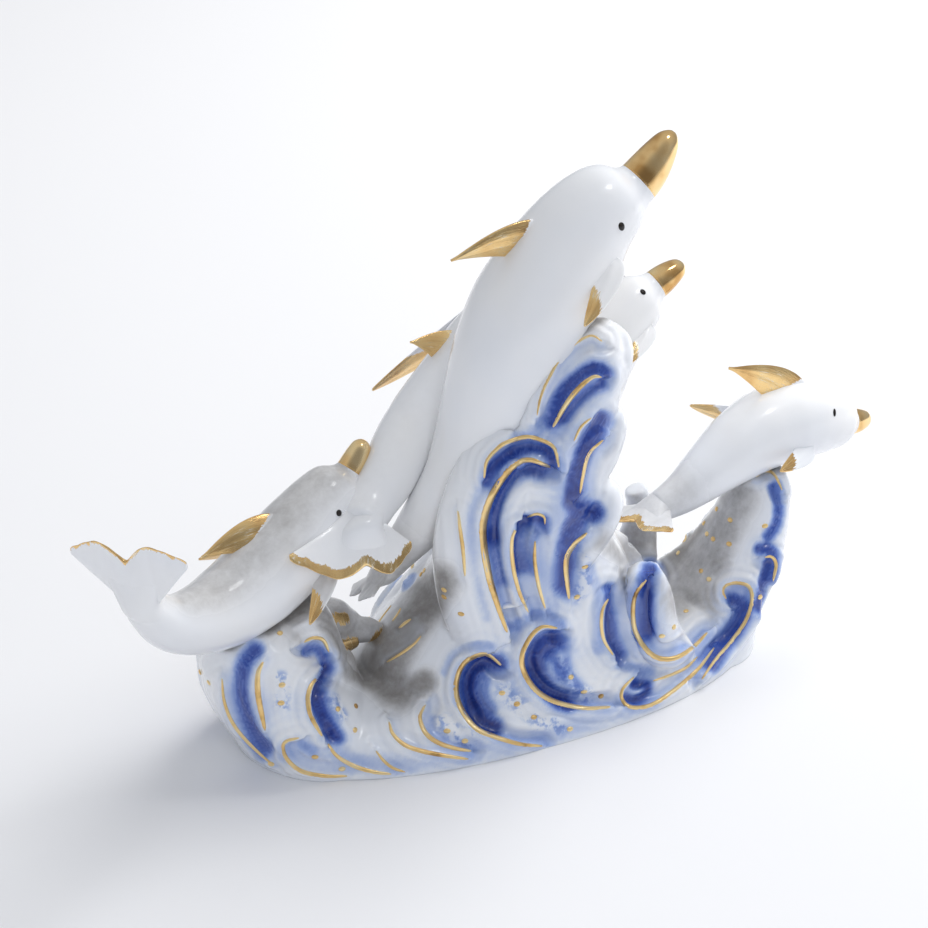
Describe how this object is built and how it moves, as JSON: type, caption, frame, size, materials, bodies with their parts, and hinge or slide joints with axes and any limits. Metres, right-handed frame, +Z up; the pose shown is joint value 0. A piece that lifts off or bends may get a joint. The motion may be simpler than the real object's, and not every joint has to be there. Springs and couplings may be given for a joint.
{
  "type": "dolphin figurine",
  "caption": "Porcelain group of leaping dolphins over a mound of curling waves with gilded fins, standing on a flat foot.",
  "frame": {"origin": "middle of the flat foot, on the surface it stands on", "axes": "+X along the length towards the right dolphin's beak, +Y away from the viewer, +Z up"},
  "size_m": [0.3064, 0.0929, 0.196],
  "materials": {
    "porcelain": "white gloss glaze with cobalt blue underglaze, grey-brown dust in the recesses and worn gold lustre on beaks, fins and wave lines"
  },
  "bodies": {
    "root": {"dolphin_figurine": "porcelain"}
  },
  "joints": []
}
